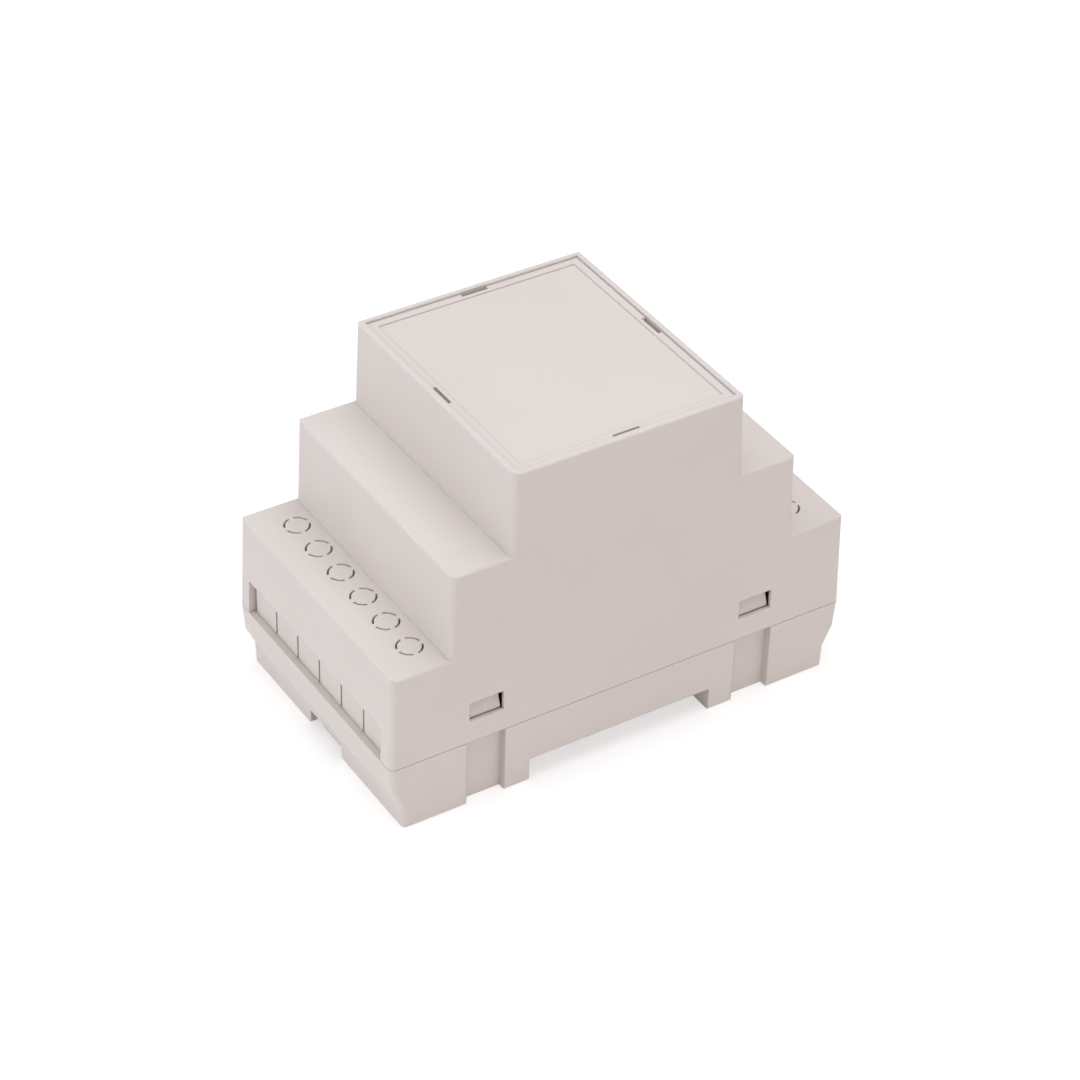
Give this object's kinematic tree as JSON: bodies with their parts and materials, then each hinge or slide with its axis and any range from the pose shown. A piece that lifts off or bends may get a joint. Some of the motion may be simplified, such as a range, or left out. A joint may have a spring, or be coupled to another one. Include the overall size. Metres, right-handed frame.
{
  "type": "din rail enclosure",
  "caption": "Stepped plastic housing for a 35 mm top-hat rail, with a push-fit cover, inset front panel and sliding rail latch.",
  "frame": {"origin": "middle of the footprint, on the plane of the feet", "axes": "+X along the rail, +Y along the housing from the latch to the fixed hooks, +Z away from the rail towards the front panel"},
  "size_m": [0.0524, 0.091, 0.065],
  "materials": {
    "housing": "fine matt moulded surface, warm light grey",
    "latch": "fine matt moulded surface, slightly darker grey"
  },
  "bodies": {
    "base": {"base": "housing"},
    "cover": {"cover": "housing"},
    "front_panel": {"front_panel": "housing"},
    "rail_latch": {"rail_latch": "latch"}
  },
  "joints": [
    {"name": "cover_lift", "type": "slide", "parent": "base", "child": "cover", "axis": [0, 0, 1], "range_m": [0, 0.04]},
    {"name": "panel_lift", "type": "slide", "parent": "cover", "child": "front_panel", "axis": [0, 0, 1], "range_m": [0, 0.02]},
    {"name": "latch_slide", "type": "slide", "parent": "base", "child": "rail_latch", "axis": [0, -1, 0], "range_m": [0, 0.0032]}
  ]
}
